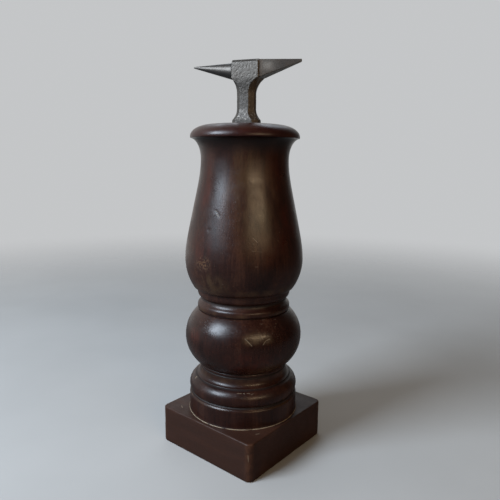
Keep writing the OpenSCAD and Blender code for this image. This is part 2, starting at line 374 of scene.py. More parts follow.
class Finish:
    """A material's node tree, with short calls for the nodes that the finishes use."""

    def __init__(self, name, tree=None):
        if tree is None:
            self.material = bpy.data.materials.new(name)
            self.material.use_nodes = True
            tree = self.material.node_tree
        self.tree = tree
        self.tree.nodes.clear()

    def add(self, kind, inputs=None, **settings):
        node = self.tree.nodes.new(kind)
        for key, value in settings.items():
            setattr(node, key, value)
        for key, value in (inputs or {}).items():
            self.feed(node.inputs[key], value)
        return node

    def feed(self, socket, value):
        if isinstance(value, bpy.types.NodeSocket):
            self.tree.links.new(value, socket)
        elif socket.type == "RGBA" and len(value) == 3:
            socket.default_value = (*value, 1.0)
        else:
            socket.default_value = value

    def millimetres(self):
        """The place on the piece, in millimetres."""
        place = self.add("ShaderNodeTexCoord").outputs["Object"]
        return self.vector("SCALE", place, scale=1.0 / MM)

    def math(self, operation, a, b=0.0, clamp=False):
        node = self.add("ShaderNodeMath", {0: a, 1: b}, operation=operation, use_clamp=clamp)
        return node.outputs[0]

    def times(self, a, b):
        return self.math("MULTIPLY", a, b)

    def plus(self, a, b):
        return self.math("ADD", a, b)

    def less(self, a, b, clamp=False):
        return self.math("SUBTRACT", a, b, clamp)

    def vector(self, operation, a, b=(0.0, 0.0, 0.0), scale=1.0):
        node = self.add("ShaderNodeVectorMath", {0: a, 1: b, 3: scale}, operation=operation)
        number = operation in ("DOT_PRODUCT", "LENGTH", "DISTANCE")
        return node.outputs["Value" if number else "Vector"]

    def mapped(self, place, scale, shift=(0.0, 0.0, 0.0)):
        inputs = {"Vector": place, "Scale": scale, "Location": shift}
        return self.add("ShaderNodeMapping", inputs).outputs["Vector"]

    def noise(self, place, scale=1.0, detail=2.0, roughness=0.5, distortion=0.0):
        node = self.add("ShaderNodeTexNoise", {"Vector": place, "Scale": scale, "Detail": detail,
                                               "Roughness": roughness, "Distortion": distortion})
        return node.outputs["Fac"]

    def rise(self, value, low, high, start=0.0, end=1.0):
        node = self.add("ShaderNodeMapRange", {"Value": value, "From Min": low, "From Max": high,
                                               "To Min": start, "To Max": end},
                        interpolation_type="SMOOTHSTEP")
        return node.outputs["Result"]

    def mix(self, amount, a, b):
        node = self.add("ShaderNodeMix", {0: amount}, data_type="RGBA")
        self.feed(node.inputs[6], a)
        self.feed(node.inputs[7], b)
        return node.outputs[2]

    def ramp(self, value, stops):
        node = self.add("ShaderNodeValToRGB", {"Fac": value})
        band = node.color_ramp
        while len(band.elements) < len(stops):
            band.elements.new(0.5)
        for element, (place, shade) in zip(band.elements, stops):
            element.position = place
            element.color = (*shade, 1.0)
        return node.outputs["Color"]

    def attribute(self, name):
        node = self.add("ShaderNodeAttribute", attribute_name=name, attribute_type="GEOMETRY")
        return node.outputs["Fac"]

    def bump(self, height, distance, strength=1.0, normal=None):
        inputs = {"Height": height, "Distance": distance * MM, "Strength": strength}
        if normal is not None:
            inputs["Normal"] = normal
        return self.add("ShaderNodeBump", inputs).outputs["Normal"]

    def relief(self, layers):
        """Bumps laid over each other. Each layer is a height, its depth in millimetres and its strength."""
        normal = None
        for height, distance, strength in layers:
            normal = self.bump(height, distance, strength, normal)
        return normal

    def over(self, shade, layers):
        """Colours laid over a shade. Each layer is a mask, its strength and its colour."""
        for mask, strength, layer in layers:
            shade = self.mix(self.times(mask, strength), shade, layer)
        return shade

    def total(self, parts):
        """The sum of several values, each times its weight."""
        weighted = [self.times(value, weight) for value, weight in parts]
        summed = weighted[0]
        for value in weighted[1:]:
            summed = self.plus(summed, value)
        return summed

    def segment(self, place, start, end, width, softness=0.35):
        """1 near the line from start to end, falling to 0 at width from it."""
        start, end = np.asarray(start, float), np.asarray(end, float)
        step = end - start
        gap = self.vector("SUBTRACT", place, tuple(start))
        along = self.vector("DOT_PRODUCT", gap, tuple(step / (step @ step)))
        along = self.math("ADD", along, 0.0, clamp=True)
        nearest = self.vector("SCALE", tuple(step), scale=along)
        distance = self.vector("DISTANCE", gap, nearest)
        return self.rise(distance, width * softness, width, 1.0, 0.0)

    def patch(self, place, centre, radii):
        """1 in the middle of an ellipsoid, falling to 0 at its surface."""
        gap = self.vector("SUBTRACT", place, tuple(centre))
        scaled = self.vector("MULTIPLY", gap, tuple(1.0 / np.asarray(radii, float)))
        return self.rise(self.vector("LENGTH", scaled), 0.25, 1.0, 1.0, 0.0)

    def most(self, values):
        """The largest of several values."""
        total = values[0]
        for value in values[1:]:
            total = self.math("MAXIMUM", total, value)
        return total

    def shader(self, **inputs):
        names = {key.replace("_", " "): value for key, value in inputs.items()}
        node = self.add("ShaderNodeBsdfPrincipled", names)
        output = self.add("ShaderNodeOutputMaterial")
        self.tree.links.new(node.outputs[0], output.inputs[0])
        return self.material


def on_turning(outline, azimuth, height):
    """The point of a turned surface at an azimuth in degrees and a height."""
    radius = float(np.interp(height, outline[:, 1], outline[:, 0]))
    a = math.radians(azimuth)
    return np.array([radius * math.cos(a), radius * math.sin(a), height])


# ---- outlines ----

TORUS = ((55.0, 80.0), 12.9, 74.2, 90.8)
BULB = ((28.8, 144.0), 43.7, 109.6, 176.8)
BELLY = ((9.0, 240.0), 63.0, 205.5, 240.0)
VASE_RADIUS = 72.0
NECK_RADIUS = 52.4
NECK_HEIGHT = 360.0
NECK_LEAN = 0.025
FLARE = 13.6
FLARE_END = math.radians(86.0)
DRUM = [(69.0, 0.0), (68.2, 1.5), (68.0, 3.0), (68.0, 21.0), (67.4, 22.5), (66.4, 23.5),
        (66.4, 25.0), (65.2, 25.8), (65.4, 26.6)]
TORUS_FILLET = [(61.0, 91.2), (59.0, 92.0), (59.2, 92.8)]
SCOTIA_FOOT, SCOTIA_TOP = (58.6, 93.5), (54.0, 101.0)
BULB_FILLET = [(54.0, 104.4), (53.2, 104.9), (54.6, 105.4), (55.0, 107.2), (54.6, 108.8),
               (53.8, 109.2)]
BEADS = [(57.0, 177.3), (55.4, 177.7), (55.3, 178.3), (56.5, 178.7), (57.1, 179.6),
         (57.3, 181.4), (57.2, 183.4), (56.8, 184.8), (56.1, 185.9), (55.2, 186.8),
         (54.2, 187.8), (53.3, 189.2), (52.7, 190.7), (52.4, 192.2), (52.8, 193.2), (54.8, 194.3),
         (56.2, 195.8), (57.1, 198.5), (57.3, 202.0), (58.0, 204.0)]
COLUMN_SPACING = [
    # height, spacing
    (47, 0.5), (53, 0.6), (55, 2.0), (65, 2.0), (67, 0.5), (75, 0.5), (77, 1.2), (88, 1.2),
    (90, 0.5), (111, 0.5), (114, 2.0), (145, 1.6), (148, 1.2), (164, 1.2), (168, 1.8),
    (175, 1.5), (177, 0.42), (205, 0.5), (209, 2.0), (235, 1.8), (240, 1.5), (305, 1.5),
    (312, 2.6), (370, 2.4), (380, 1.0), (384, 0.5)]


def column_outline():
    """The turned outline as [radius, height]: round runs, a quarter ellipse and a cosine neck."""
    drum = np.array(DRUM) + np.array([0.0, PLINTH_TOP])
    a = np.linspace(0.0, math.pi / 2, 10)
    scotia = np.stack([SCOTIA_FOOT[0] - (SCOTIA_FOOT[0] - SCOTIA_TOP[0]) * np.sin(a),
                       SCOTIA_TOP[1] - (SCOTIA_TOP[1] - SCOTIA_FOOT[1]) * np.cos(a)], 1)
    t = np.linspace(0.0, 1.0, 60)[1:]
    lean = t + NECK_LEAN * np.sin(2.0 * math.pi * t)
    middle, swing = (VASE_RADIUS + NECK_RADIUS) / 2, (VASE_RADIUS - NECK_RADIUS) / 2
    neck = np.stack([middle + swing * np.cos(math.pi * lean),
                     BELLY[0][1] + (NECK_HEIGHT - BELLY[0][1]) * t], 1)
    b = np.linspace(0.0, FLARE_END, 20)[1:]
    flare = np.stack([NECK_RADIUS + FLARE * (1.0 - np.cos(b)),
                      NECK_HEIGHT + (CAP_FOOT - NECK_HEIGHT) * np.sin(b) / math.sin(FLARE_END)], 1)
    return np.concatenate([drum, round_run(*TORUS, 24), TORUS_FILLET, scotia, BULB_FILLET,
                           round_run(*BULB, 60), BEADS, round_run(*BELLY, 30), neck, flare])


MORTISE_MOUTH = 13.7
MORTISE_TAPER = 5.0 / 62.0
MORTISE_DEPTH = 65.0
MORTISE_FOOT = CAP_TOP - MORTISE_DEPTH


def mortise_half(z):
    """Half the side of the tapered square mortise at a height."""
    return (MORTISE_MOUTH - MORTISE_TAPER * (CAP_TOP - z)) / 2


# ---- finishes ----

def wood(finish, place, colours, along, seed):
    """Mahogany: long grain streaks, broad figure and short dark pores, all stretched along the grain.

    Returns the colour, and the heights of the grain and of the pores for the relief.
    """
    def stretched(across_scale, along_scale):
        scale = [across_scale] * 3
        scale["xyz".index(along)] = along_scale
        return finish.mapped(place, tuple(scale), shift=(seed, seed * 0.7, seed * 1.3))

    figure = finish.noise(stretched(0.035, 0.006), detail=3.0, distortion=0.6)
    streaks = finish.noise(stretched(0.55, 0.022), detail=4.0, roughness=0.62)
    fine = finish.noise(stretched(1.7, 0.07), detail=2.0, roughness=0.6)
    pores = finish.noise(stretched(1.3, 0.20), detail=2.0, roughness=0.7)
    mottle = finish.noise(place, 0.30, 4.0, 0.75)
    blend = finish.total([(figure, 0.46), (streaks, 0.30), (fine, 0.06), (mottle, 0.18)])
    shade = finish.ramp(blend, [(0.36, colours.dark), (0.50, colours.middle), (0.63, colours.light)])
    return shade, finish.plus(fine, streaks), finish.rise(pores, 0.60, 0.68)


COLUMN_SCRATCHES = [
    # azimuth and height of both ends, width, strength
    ((-79.3, 300.2), (-76.6, 296.8), 0.50, 0.42),
    ((-82.0, 303.2), (-78.6, 302.0), 0.35, 0.30),
    ((-41.4, 275.0), (-36.9, 269.5), 0.42, 0.28),
    ((-42.6, 261.0), (-33.4, 259.6), 0.36, 0.18),
    ((-39.9, 243.4), (-37.2, 243.3), 0.36, 0.20),
    ((-87.2, 282.0), (-86.8, 281.2), 0.50, 0.35),
    ((-48.1, 159.7), (-41.8, 152.0), 0.42, 0.50),
    ((-31.5, 152.1), (-28.2, 156.4), 0.40, 0.42),
    ((-28.2, 156.4), (-23.9, 157.6), 0.40, 0.42),
    ((-27.8, 176.9), (-10.1, 175.4), 0.45, 0.22),
    ((-30.5, 173.4), (-12.1, 171.2), 0.40, 0.22),
    ((-26.0, 170.2), (-14.5, 168.6), 0.35, 0.18),
    ((-55.9, 90.3), (-51.1, 90.1), 0.45, 0.42),
    ((-49.0, 90.3), (-47.8, 89.9), 0.50, 0.50),
    ((-45.5, 90.4), (-42.1, 90.0), 0.42, 0.42),
    ((-41.0, 89.0), (-38.4, 89.8), 0.35, 0.40),
    ((-122.0, 91.2), (-120.6, 90.2), 1.10, 0.55),
]


# Dark lines: painted shadows beside the dents and scratches, and dark scratch lines on the bulb.
SHADOW_AND_SCRATCH_LINES = [
    # azimuth and height of both ends, width
    ((-82.4, 302.4), (-79.6, 301.2), 0.9), ((-77.9, 300.4), (-75.0, 297.4), 1.0),
    ((-88.0, 281.6), (-85.9, 281.2), 0.8), ((-46.4, 158.6), (-43.0, 156.6), 0.7),
    ((-41.2, 276.4), (-38.6, 273.8), 0.6), ((-108.0, 158.0), (-104.0, 148.0), 0.9),
    ((-104.0, 160.0), (-100.0, 147.0), 0.8), ((-112.0, 155.0), (-109.0, 146.0), 0.9),
]


RED_ZONES = [
    # azimuth, height, radii
    (-18.0, 335.0, (24, 24, 46)), (-4.0, 285.0, (30, 30, 50)), (-104.0, 154.0, (16, 16, 12)),
    (-101.0, 330.0, (15, 15, 50)), (-30.0, 262.0, (26, 26, 30)), (-95.0, 262.0, (22, 22, 26)),
    (-45.0, 130.0, (38, 38, 18)), (60.0, 310.0, (30, 30, 50)), (150.0, 250.0, (34, 34, 40)),
    (120.0, 140.0, (30, 30, 24)),
]
# Faded polish, together with lighter patches painted where the warm lamp's highlight falls on the vase and
# the bulb.
FADED_AND_LIT_ZONES = [
    (-50.0, 335.0, (30, 30, 60)), (-36.0, 290.0, (34, 34, 64)), (-24.0, 320.0, (22, 22, 60)),
    (-40.0, 158.0, (20, 20, 9)), (-27.0, 156.5, (11, 11, 7)), (-80.0, 220.0, (26, 26, 18)),
    (-20.0, 118.0, (26, 26, 10)), (170.0, 330.0, (24, 24, 50)), (80.0, 240.0, (30, 30, 34)),
]
WORN_ZONE = (-90.0, 243.0, (14, 14, 11))
# Lighter bands on the cove, the fillets and the bead edges: rubbed polish, and a painted highlight where
# these catch the light.
LIT_AND_RUBBED_BANDS = [
    # foot, top, softness
    (97.0, 104.0, 2.0), (179.0, 183.0, 1.2), (68.6, 70.4, 0.6), (207.0, 214.0, 3.0),
]
# Grooves darkened with painted shade, where the beads and fillets above them cast shadow: foot, top,
# softness.
SHADED_GROOVE_BANDS = [
    (103.0, 106.2, 0.6), (190.0, 193.0, 0.8), (71.0, 73.6, 0.5), (91.4, 93.2, 0.4),
    (108.6, 110.6, 0.4), (177.5, 178.5, 0.25),
]
GLOSSY_BULB = (110.0, 176.0, 4.0)
GLUE_LINE = (PLINTH_TOP - 2.0, PLINTH_TOP + 0.75, 0.15)
# Heights over which painted shade darkens the column under the cap's overhang.
DARK_UNDER_CAP = (362.0, 381.0)
# Colours of the painted shade under the cap and in the grooves.
SHADE_UNDER_CAP, GROOVE_SHADE_COLOUR = (0.004, 0.0018, 0.0014), (0.006, 0.0032, 0.0028)


def column_finish(colours):
    """Waxed mahogany with faded and red zones, rubbed beads, scratches and a pale glue line, with painted
    shade under the cap, in the grooves and beside the dents, and painted highlight on the cove, the bead
    edges and where the lamp catches the vase and bulb.
    """
    finish = Finish("waxed_mahogany_column")
    place = finish.millimetres()
    height = finish.add("ShaderNodeSeparateXYZ", {0: place}).outputs["Z"]
    shade, grain, pores = wood(finish, place, colours, "z", 3.0)
    outline = column_outline()

    def patches(table):
        return finish.most([finish.patch(place, on_turning(outline, azimuth, high), radii)
                            for azimuth, high, radii in table])

    def band(low, high, edge):
        return finish.times(finish.rise(height, low - edge, low + edge),
                            finish.rise(height, high - edge, high + edge, 1.0, 0.0))

    def line(start, end, width, strength=1.0):
        return finish.times(finish.segment(place, on_turning(outline, *start),
                                           on_turning(outline, *end), width), strength)

    def broken(scale, detail, low, high, roughness=0.5):
        return finish.rise(finish.noise(place, scale, detail, roughness), low, high)

    uneven = finish.noise(finish.mapped(place, (0.11, 0.11, 0.018)), 1.0, 4.0, 0.65)
    uneven = finish.rise(uneven, 0.30, 0.64)
    # Rubbed polish, partly a painted highlight on the cove and the bead edges.
    rubbed = finish.times(finish.most([band(*row) for row in LIT_AND_RUBBED_BANDS]),
                          broken(0.08, 3.0, 0.35, 0.7))
    # Painted shade in the grooves; the same mask also makes them a little rougher.
    shaded_grooves = finish.most([band(*row) for row in SHADED_GROOVE_BANDS])
    worn = finish.times(patches([WORN_ZONE]), broken(0.50, 3.0, 0.50, 0.60, 0.7))
    nicks = finish.times(broken(0.55, 1.0, 0.765, 0.80), broken(0.02, 1.0, 0.45, 0.65))
    glue = finish.times(band(*GLUE_LINE), broken(0.12, 3.0, 0.32, 0.5))
    marks = finish.most([line(*row) for row in COLUMN_SCRATCHES]
                        + [finish.times(worn, 0.15), finish.times(nicks, 0.5),
                           finish.times(glue, 0.75)])
    shade = finish.over(shade, [
        (finish.times(patches(RED_ZONES), uneven), 0.55, colours.red),
        # faded polish, partly a painted highlight under the lamp's reflection
        (finish.times(patches(FADED_AND_LIT_ZONES), uneven), 0.60, colours.olive),
        # rubbed polish and painted highlight on the cove and bead edges
        (rubbed, 0.5, colours.olive),
        (pores, 0.55, colours.dark),
        # painted shade under the cap's overhang
        (finish.rise(height, *DARK_UNDER_CAP), 0.75, SHADE_UNDER_CAP),
        # painted shade in the grooves
        (shaded_grooves, 0.7, GROOVE_SHADE_COLOUR),
        # painted shadows beside dents and scratches, and dark scratch lines
        (finish.most([line(*row) for row in SHADOW_AND_SCRATCH_LINES]), 0.85, colours.dark),
        (marks, 1.0, colours.scratch),
        (worn, 0.8, colours.bare),
    ])

    smears = finish.noise(finish.mapped(place, (0.03, 0.03, 0.05)), 1.0, 5.0, 0.65)
    rough = finish.rise(smears, 0.25, 0.75, colours.gloss - 0.07, colours.gloss + 0.09)
    rough = finish.less(rough, finish.times(band(*GLOSSY_BULB), 0.05))
    rough = finish.plus(rough, finish.times(shaded_grooves, 0.25))
    rough = finish.plus(rough, finish.times(marks, 0.25))
    lathe = finish.noise(finish.mapped(place, (0.02, 0.02, 2.4)), 1.0, 2.0)
    peel = finish.noise(place, 0.55, 3.0, 0.6)
    relief = finish.relief([(pores, -0.05, 0.6), (grain, 0.05, 0.5), (lathe, 0.03, 0.5),
                            (peel, 0.05, 0.5), (marks, -0.12, 0.7)])
    return finish.shader(Base_Color=shade, Roughness=rough, Normal=relief, Coat_Weight=0.04,
                         Coat_Roughness=0.16, Specular_IOR_Level=0.30)


CAP_RED, CAP_SPOTS = (0.030, 0.0055, 0.0045), (0.006, 0.003, 0.003)


def cap_finish(colours):
    """Redder waxed mahogany with its grain lying level."""
    finish = Finish("waxed_mahogany_cap")
    place = finish.millimetres()
    shade, grain, pores = wood(finish, place, colours, "x", 11.0)
    clouds = finish.rise(finish.noise(place, 0.12, 4.0, 0.7), 0.25, 0.75, 0.15, 0.60)
    spots = finish.rise(finish.noise(place, 0.35, 2.0), 0.66, 0.72)
    shade = finish.over(shade, [(clouds, 1.0, CAP_RED), (pores, 0.5, colours.dark),
                                (spots, 0.6, CAP_SPOTS)])
    smears = finish.noise(place, 0.05, 5.0, 0.65)
    rough = finish.rise(smears, 0.25, 0.75, colours.gloss - 0.07, colours.gloss + 0.10)
    relief = finish.relief([(pores, -0.05, 0.6), (grain, 0.05, 0.5)])
    return finish.shader(Base_Color=shade, Roughness=rough, Normal=relief, Coat_Weight=0.04,
                         Coat_Roughness=0.18, Specular_IOR_Level=0.32)


PLINTH_BROWN = (0.046, 0.0195, 0.0115)
PLINTH_HALF = rest_box("plinth")[1][0]
PLINTH_SCRATCHES = [
    # both ends, width
    ((-54.0, -58.0, PLINTH_TOP), (-49.0, -61.0, PLINTH_TOP), 0.6),
    ((62.0, -49.0, PLINTH_TOP), (64.0, -46.0, PLINTH_TOP), 0.7),
    ((PLINTH_HALF - 3.5, 1.0 - PLINTH_HALF, 34.0), (PLINTH_HALF - 3.0, 1.0 - PLINTH_HALF, 26.0), 0.4),
]


def plinth_finish(colours, plinth):
    """Dull mahogany with rubbed red corners, level grain and a few pale nicks."""
    finish = Finish("dull_mahogany_plinth")
    place = finish.millimetres()
    shade, grain, pores = wood(finish, place, colours, "x", 23.0)
    edge = finish.times(finish.attribute("worn"),
                        finish.rise(finish.noise(place, 0.16, 4.0, 0.7), 0.28, 0.62))
    dust = finish.rise(finish.noise(place, 0.9, 3.0, 0.7), 0.62, 0.74)
    nicks = finish.times(finish.rise(finish.noise(place, 0.45, 1.0), 0.78, 0.82), 0.6)
    lines = [finish.segment(place, *row) for row in PLINTH_SCRATCHES]
    shade = finish.over(shade, [(edge, 0.85, plinth.worn_corner), (pores, 0.5, colours.dark)])
    shade = finish.mix(0.42, shade, PLINTH_BROWN)
    shade = finish.over(shade, [(finish.most([*lines, nicks]), 0.5, colours.scratch)])
    rough = finish.rise(finish.noise(place, 0.06, 5.0, 0.7), 0.25, 0.75, 0.42, 0.58)
    relief = finish.relief([(pores, -0.07, 0.7), (grain, 0.07, 0.6), (dust, 0.04, 0.4)])
    return finish.shader(Base_Color=shade, Roughness=rough, Normal=relief, Coat_Weight=0.05,
                         Coat_Roughness=0.35, Specular_IOR_Level=0.22)


# Colour of the painted shade in the anvil's hollows and at the roots of the horns.
HOLLOW_SHADE_COLOUR = (0.012, 0.009, 0.008)
DARK_STEEL_SHARE = 0.55


def steel_finish(colours):
    """Forged steel: grey, brown where the patina lies, bright where rubbed and blackened on the horns, with
    painted shade that is black in the corners and hollows and dark on the horn's top and on the undersides.
    """
    finish = Finish("forged_steel")
    place = finish.millimetres()
    worn, oxide = finish.attribute("worn"), finish.attribute("oxide")
    mottle = finish.noise(place, 0.8, 4.0, 0.7)
    shade = finish.mix(finish.rise(mottle, 0.35, 0.68),
                       tuple(c * DARK_STEEL_SHARE for c in colours.steel), colours.steel)
    clouds = finish.rise(finish.noise(place, 0.22, 4.0, 0.7), 0.20, 0.52, 0.55, 1.0)
    brown = finish.times(finish.attribute("patina"), clouds)
    # Blackened steel, together with painted shade on the round horn's top and on the undersides.
    black = finish.times(oxide, finish.rise(mottle, 0.2, 0.6, 0.7, 1.0))
    shade = finish.over(shade, [(black, 1.0, colours.oxide), (brown, 1.0, colours.patina),
                                (worn, 0.9, colours.bright),
                                # painted shade in the hollows and at the horn roots
                                (finish.attribute("hollow"), 0.85, HOLLOW_SHADE_COLOUR)])
    metal = finish.less(0.92, finish.times(brown, 0.55), clamp=True)
    metal = finish.less(metal, finish.times(oxide, 0.40), clamp=True)
    rough = finish.rise(mottle, 0.3, 0.7, 0.42, 0.58)
    rough = finish.less(rough, finish.times(finish.attribute("horn"), 0.03))
    rough = finish.less(rough, finish.times(worn, 0.14))
    relief = finish.bump(finish.noise(place, 2.2, 4.0, 0.7), 0.10, 0.6)
    return finish.shader(Base_Color=shade, Roughness=rough, Metallic=metal, Normal=relief)


def wedge_finish():
    """Bare hardwood with its grain upright."""
    finish = Finish("wedge_oak")
    place = finish.millimetres()
    streaks = finish.noise(finish.mapped(place, (1.2, 1.2, 0.06)), 1.0, 4.0, 0.6)
    pores = finish.rise(finish.noise(finish.mapped(place, (2.6, 2.6, 0.3))), 0.58, 0.68)
    shade = finish.ramp(streaks, [(0.3, (0.20, 0.11, 0.05)), (0.7, (0.46, 0.31, 0.17))])
    shade = finish.mix(finish.times(pores, 0.6), shade, (0.08, 0.04, 0.02))
    bump = finish.bump(pores, -0.08, 0.6)
    return finish.shader(Base_Color=shade, Roughness=finish.rise(streaks, 0.3, 0.7, 0.6, 0.75),
                         Normal=bump)


def settle(made, body, node, material):
    """Finishes a piece: its material, the body it rides on and the CAD node it stands for."""
    made.data.materials.append(material)
    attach(made, body)
    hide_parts(node)


# ---- pieces ----

class STAND_OT_column(bpy.types.Operator):
    """Turns the column, with its tenon, its spigot and the mortise for the tang"""

    bl_idname = "anvil_stand.column"
    bl_label = "Column"

    def execute(self, context):
        scene = context.scene
        sizes = scene.stand_column
        even = round_angles(sizes.around, ANVIL_TURN)
        angles = even - CLOSER_IN_FRONT * np.sin(even - FRONT)
        tenon, spigot = sizes.tenon_radius / MM, sizes.spigot_radius / MM
        foot = TENON_END + 0.3
        turned = respace(column_outline(), COLUMN_SPACING)
        below = np.array([(4, foot), (12, foot), (21.4, foot), (22, foot + 0.6), (22, 16), (22, 31),
                          (22, PLINTH_TOP), (30, PLINTH_TOP), (44, PLINTH_TOP), (58, PLINTH_TOP)])
        below[3:7, 0] = tenon
        above = np.array([(58, CAP_FOOT), (44, CAP_FOOT), (32, CAP_FOOT), (spigot, CAP_FOOT),
                          (spigot, CAP_FOOT + 5), (spigot, SPIGOT_TOP - 0.5),
                          (spigot - 0.5, SPIGOT_TOP)])
        loops = round_loops(np.concatenate([below, turned, above]), angles)
        mouth = square_loop(TANG_CENTRE, mortise_half(SPIGOT_TOP), SPIGOT_TOP, angles, ANVIL_TURN)
        end = square_loop(TANG_CENTRE, mortise_half(MORTISE_FOOT), MORTISE_FOOT, angles, ANVIL_TURN)
        well = between(mouth, end, 14, ends=True)
        loops = np.concatenate([loops, between(loops[-1], mouth, 4), well,
                                between(end, end.mean(0), 3)])

        first, last = len(below), len(below) + len(turned)
        skin_rows = loops[first:last]
        ends = rise(skin_rows[..., 2], PLINTH_TOP, PLINTH_TOP + 4.0)
        ends *= rise(CAP_FOOT - skin_rows[..., 2], 0.0, 4.0)
        push = sizes.wobble / MM * ends * (lattice_noise(skin_rows, 34.0, 5)
                                           + 0.30 * lattice_noise(skin_rows, 11.0, 6))
        push -= VASE_DENT_DEPTH * np.exp(-path_distance(skin_rows, VASE_DENT) ** 2)
        for azimuth, height, radius, depth in COLUMN_DENTS:
            gap = path_distance(skin_rows, [(azimuth, height), (azimuth + 0.01, height)])
            push -= depth * np.exp(-(gap / radius) ** 2)
        loops[first:last] = skin_rows + level_outward(skin_rows) * push[..., None]
        made = put_mesh("column", *skin(loops, joined=False))
        sharpen(made)
        settle(made, "stand", "column", column_finish(scene.stand_wood))
        return {"FINISHED"}


FRONT = math.radians(-55.0)
CLOSER_IN_FRONT = 0.42
VASE_DENT_DEPTH = 0.20
VASE_DENT = [(-81.8, 302.7), (-79.4, 302.2), (-77.4, 300.0), (-75.6, 296.4)]
COLUMN_DENTS = [
    # azimuth, height, radius, depth
    (-86.9, 281.4, 1.5, 0.45), (-45.0, 156.5, 2.6, 0.30), (-27.5, 155.5, 2.4, 0.26),
    (-50.0, 90.0, 1.6, 0.35), (-44.0, 90.0, 1.5, 0.30), (-121.0, 90.8, 1.6, 0.3),
    (-90.0, 243.0, 5.0, 0.22), (-65.0, 226.0, 2.2, 0.18), (30.0, 290.0, 2.4, 0.3),
    (110.0, 150.0, 3.0, 0.3), (160.0, 262.0, 3.2, 0.28), (-165.0, 135.0, 2.6, 0.3),
    (75.0, 88.0, 1.8, 0.3), (140.0, 90.0, 1.6, 0.35),
]


class STAND_OT_cap(bpy.types.Operator):
    """Turns the cap, with the mortise's mouth in the middle of its top"""

    bl_idname = "anvil_stand.cap"
    bl_label = "Cap"

    def execute(self, context):
        scene = context.scene
        sizes = scene.stand_cap
        high = rest_box("cap")[1]
        radius = high[0]
        flat = sizes.flat_radius / MM
        bore = scene.stand_column.spigot_radius / MM + GLUE_GAP
        bore_top = SPIGOT_TOP + GLUE_GAP
        edge = CAP_FOOT + sizes.edge_height / MM
        angles = round_angles(CAP_AROUND, ANVIL_TURN)
        a = np.linspace(0.0, math.pi / 2, 40)
        rim = np.stack([flat + (radius - flat) * np.cos(a), edge + (CAP_TOP - edge) * np.sin(a)], 1)
        soft = [(radius - 0.5, CAP_FOOT), (radius - 0.12, CAP_FOOT + 0.14), (radius, CAP_FOOT + 0.5)]
        turned = respace(np.concatenate([soft, rim]), [(0.0, 1.1)])
        under = np.array([(bore, CAP_FOOT), (32, CAP_FOOT), (44, CAP_FOOT), (56, CAP_FOOT)])
        loops = round_loops(np.concatenate([under, turned]), angles)
        wide = mortise_half(CAP_TOP)
        mouth = square_loop(TANG_CENTRE, wide + MOUTH_EASE, CAP_TOP, angles, ANVIL_TURN)
        lip = square_loop(TANG_CENTRE, wide, CAP_TOP - MOUTH_EASE, angles, ANVIL_TURN)
        floor = square_loop(TANG_CENTRE, mortise_half(bore_top), bore_top, angles, ANVIL_TURN)
        top_ring = round_loops([(bore, bore_top)], angles)[0]
        loops = np.concatenate([loops, between(loops[-1], mouth, CAP_TOP_RINGS), [mouth],
                                between(lip, floor, 5, ends=True), between(floor, top_ring, 3),
                                [top_ring]])
        first, last = len(under), len(under) + len(turned) + CAP_TOP_RINGS
        rows = loops[first:last]
        ends = rise(rows[..., 2], CAP_FOOT, CAP_FOOT + 3.0)
        push = ends * (0.14 * lattice_noise(rows, 22.0, 31) + 0.05 * lattice_noise(rows, 7.0, 32))
        for place, size, depth in CAP_DENTS:
            gap = np.linalg.norm(rows - np.array(place), axis=-1)
            push -= depth * np.exp(-(gap / size) ** 2)
        rows[..., 2] += np.minimum(push, 0.05)
        made = put_mesh("cap", *skin(loops, joined=True))
        sharpen(made)
        settle(made, "stand", "cap", cap_finish(scene.stand_wood))
        return {"FINISHED"}


CAP_AROUND, CAP_TOP_RINGS = 224, 12
MOUTH_EASE = 0.35
CAP_DENTS = [
    # place, radius, depth
    ((-12.0, -44.0, 400.0), 3.0, 0.7), ((-20.0, -38.0, 400.5), 2.0, 0.5),
    ((38.0, -22.0, 400.5), 2.2, 0.35), ((24.0, 38.0, 400.5), 2.6, 0.4),
    ((-34.0, 24.0, 400.5), 2.4, 0.45),
]


def rounded_square(half, corner, steps, corner_steps):
    """Points round a square with round corners, counter-clockwise, as a quarter turned four times.

    Each quarter runs from the middle of one side over its corner to the middle of the next.
    """
    flat = half - corner
    t = np.linspace(0.0, 1.0, steps, endpoint=False)
    a = np.linspace(0.0, math.pi / 2, corner_steps, endpoint=False)
    x = np.concatenate([np.full(steps, half), flat + corner * np.cos(a), flat * (1.0 - t)])
    y = np.concatenate([flat * t, flat + corner * np.sin(a), np.full(steps, half)])
    turn = np.arange(4)[:, None] * math.pi / 2
    return np.stack([(x * np.cos(turn) - y * np.sin(turn)).ravel(),
                     (x * np.sin(turn) + y * np.cos(turn)).ravel()], 1)


# Rings of points under the plinth, up its sides and over its top.
UNDER_RINGS, SIDE_RINGS, OVER_RINGS = 8, 27, 30


